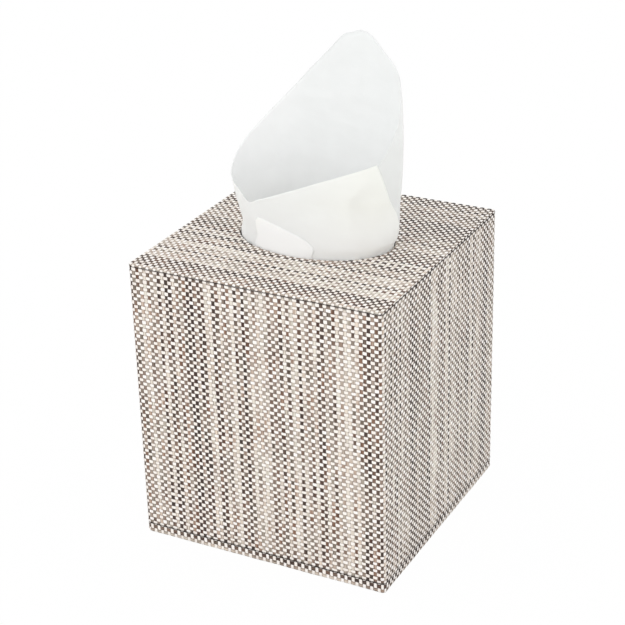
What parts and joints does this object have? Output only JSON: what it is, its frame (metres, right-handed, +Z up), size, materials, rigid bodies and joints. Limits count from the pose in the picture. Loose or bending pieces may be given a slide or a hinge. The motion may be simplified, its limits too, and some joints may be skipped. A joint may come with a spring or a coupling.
{
  "type": "tissue box holder",
  "caption": "Cube tissue box holder of boards wrapped in woven cloth, open underneath, over a carton of tissues with a curled tissue pulled up through its oval opening.",
  "frame": {"origin": "middle of the footprint, on the surface that the holder stands on", "axes": "+Z up through the opening; -Y is the front; the opening's long axis and the top cloth's coloured threads run along X"},
  "size_m": [0.13, 0.13, 0.2401],
  "materials": {
    "board": "raw greyboard edges, hidden under cloth and lining",
    "woven_cloth": "plain weave of off-white crosswise threads over mixed brown, taupe, grey and cream threads",
    "lining_paper": "matt off-white lining paper",
    "carton_card": "plain smooth white-grey folding card, unprinted",
    "clear_film": "thin clear film",
    "tissue_paper": "soft matt white facial tissue"
  },
  "bodies": {
    "root": {"front_board": "board", "back_board": "board", "left_board": "board", "right_board": "board", "top_board": "board", "woven_wall_wrap": "woven_cloth", "woven_top_cover": "woven_cloth", "woven_bottom_binding": "woven_cloth", "wall_lining": "lining_paper", "top_lining": "lining_paper", "tissue_carton": "carton_card", "slit_film": "clear_film", "tissue_stack": "tissue_paper", "pulled_tissue": "tissue_paper"}
  },
  "joints": []
}
